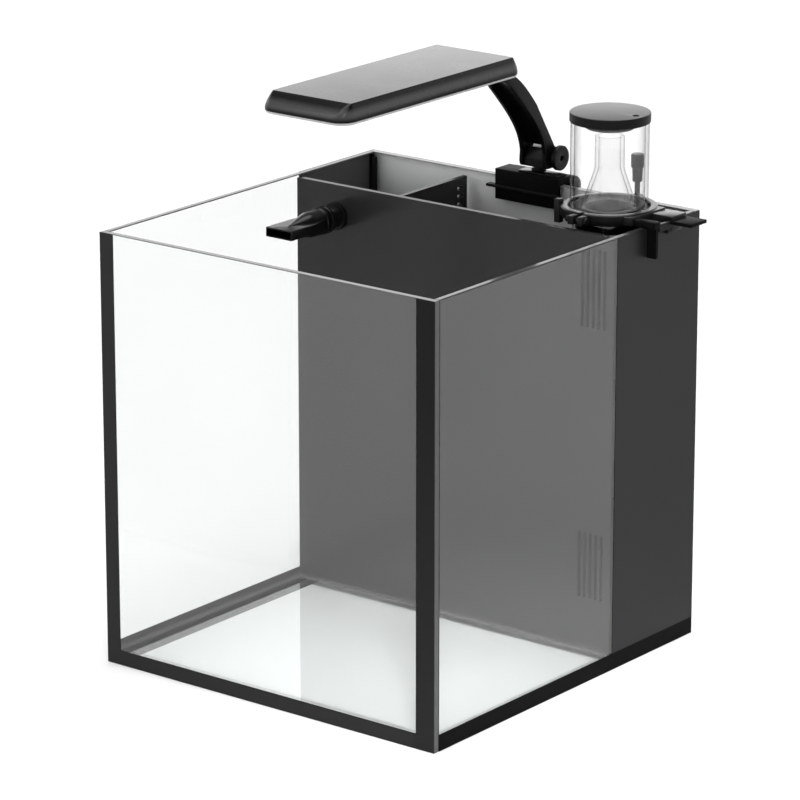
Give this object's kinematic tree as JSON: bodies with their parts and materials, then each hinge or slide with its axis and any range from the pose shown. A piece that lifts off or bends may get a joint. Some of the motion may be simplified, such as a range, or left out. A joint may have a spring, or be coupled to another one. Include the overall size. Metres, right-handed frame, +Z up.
{
  "type": "aquarium with rear filter bay, lamp and skimmer",
  "caption": "Rimless glass aquarium with black borders, a black rear filter bay, a flat return nozzle, a clamp-on tilting lamp and a hang-in protein skimmer.",
  "frame": {"origin": "middle of the underside of the glass box, on the surface that it stands on", "axes": "+X to the right along the front pane, +Y from the front pane to the back pane, +Z up"},
  "size_m": [0.3809, 0.3909, 0.5075],
  "materials": {
    "glass": "polished",
    "white_board": "satin",
    "clear_seal": "smooth",
    "black_seal": "satin",
    "black_film": "satin",
    "bay_panel": "gloss",
    "black_plastic": "moulded, satin",
    "filter_foam": "open-cell foam",
    "rotor_plastic": "moulded",
    "clear_hose": "smooth",
    "lamp_shell": "satin gloss",
    "clear_acrylic": "polished",
    "bright_metal": "satin",
    "led_metal": "satin"
  },
  "bodies": {
    "tank": {"front_pane": "glass", "back_pane": "glass", "left_pane": "glass", "right_pane": "glass", "bottom_pane": "glass", "base_board": "white_board", "front_left_seam": "clear_seal", "front_right_seam": "clear_seal", "bottom_seam": "clear_seal", "rear_left_seam": "black_seal", "rear_right_seam": "black_seal", "front_border": "black_film", "right_border": "black_film", "left_border": "black_film", "back_film": "black_film", "floor_border": "black_film", "rear_partition": "bay_panel", "left_divider": "bay_panel", "right_divider": "bay_panel", "return_pump": "black_plastic", "return_pump_cover": "black_plastic", "outlet_elbow": "black_plastic", "outlet_bulkhead": "black_plastic", "bulkhead_nut": "black_plastic", "clamp_body": "black_plastic", "clamp_flange": "black_plastic", "clamp_jaw": "black_plastic", "swivel_plate": "black_plastic", "skimmer_collar": "black_plastic", "hanger_hook": "black_plastic", "hanger_block": "black_plastic", "hanger_plate": "black_plastic", "valve_body": "black_plastic", "skimmer_pump": "black_plastic", "return_hose": "clear_hose", "air_tube": "clear_hose", "skimmer_body": "clear_acrylic", "swivel_post": "bright_metal"},
    "nozzle": {"nozzle_collar": "black_plastic", "duckbill_nozzle": "black_plastic"},
    "return_rotor": {"return_impeller": "rotor_plastic"},
    "skimmer_rotor": {"skimmer_impeller": "rotor_plastic"},
    "basket": {"media_basket": "black_plastic"},
    "sponge": {"filter_sponge": "filter_foam"},
    "lamp_base": {"lamp_foot": "black_plastic"},
    "lamp_head": {"lamp_arm": "black_plastic", "lamp_housing": "lamp_shell", "lamp_diffuser": "clear_acrylic", "led_board": "led_metal", "pivot_cap": "bright_metal"},
    "knob": {"tilt_knob": "black_plastic"},
    "pad": {"clamp_pad": "black_seal"},
    "thumb_screw": {"clamp_screw": "black_plastic"},
    "cup": {"cup_base": "black_plastic", "cup_tube": "clear_acrylic", "neck_cone": "clear_acrylic"},
    "lid": {"cup_lid": "black_plastic"},
    "ring_screw": {"collar_screw": "bright_metal"},
    "valve": {"valve_cap": "black_plastic"}
  },
  "joints": [
    {"name": "lamp_swivel", "type": "hinge", "parent": "tank", "child": "lamp_base", "pos_m": [0.004, 0.187, 0.39], "axis": [0, 0, 1], "range_deg": [-60, 60]},
    {"name": "lamp_tilt", "type": "hinge", "parent": "lamp_base", "child": "lamp_head", "pos_m": [0.005, 0.1905, 0.3987], "axis": [-1, 0, 0], "range_deg": [0, 60]},
    {"name": "tilt_knob_turn", "type": "hinge", "parent": "lamp_base", "child": "knob", "pos_m": [0.024, 0.1905, 0.3987], "axis": [1, 0, 0], "range_deg": [0, 180]},
    {"name": "clamp_pad_travel", "type": "slide", "parent": "tank", "child": "pad", "axis": [0, 1, 0], "range_m": [0, 0.0025]},
    {"name": "clamp_screw_turn", "type": "hinge", "parent": "pad", "child": "thumb_screw", "pos_m": [0.005, 0.2, 0.364], "axis": [0, 1, 0], "range_deg": [0, 720]},
    {"name": "nozzle_turn", "type": "hinge", "parent": "tank", "child": "nozzle", "pos_m": [-0.125, 0.04, 0.3485], "axis": [0, 1, 0], "range_deg": [-90, 90]},
    {"name": "return_impeller_spin", "type": "hinge", "parent": "tank", "child": "return_rotor", "pos_m": [-0.124, 0.1, 0.03], "axis": [0, 1, 0], "continuous": true},
    {"name": "skimmer_impeller_spin", "type": "hinge", "parent": "tank", "child": "skimmer_rotor", "pos_m": [0.1212, 0.112, 0.028], "axis": [0, 1, 0], "continuous": true},
    {"name": "basket_lift", "type": "slide", "parent": "tank", "child": "basket", "axis": [0, 0, 1], "range_m": [0, 0.17]},
    {"name": "sponge_lift", "type": "slide", "parent": "basket", "child": "sponge", "axis": [0, 0, 1], "range_m": [0, 0.1]},
    {"name": "cup_lift", "type": "slide", "parent": "tank", "child": "cup", "axis": [0, 0, 1], "range_m": [0, 0.08]},
    {"name": "lid_lift", "type": "slide", "parent": "cup", "child": "lid", "axis": [0, 0, 1], "range_m": [0, 0.04]},
    {"name": "ring_screw_turn", "type": "hinge", "parent": "tank", "child": "ring_screw", "pos_m": [0.1212, 0.0814, 0.3812], "axis": [1, 0, 0], "range_deg": [0, 360]},
    {"name": "air_valve_turn", "type": "hinge", "parent": "tank", "child": "valve", "pos_m": [0.1215, 0.1675, 0.416], "axis": [0, 0, 1], "range_deg": [0, 270]}
  ],
  "couplings": [
    {"joint": "clamp_screw_turn", "follows": "clamp_pad_travel", "rad_per_m": 5000}
  ]
}
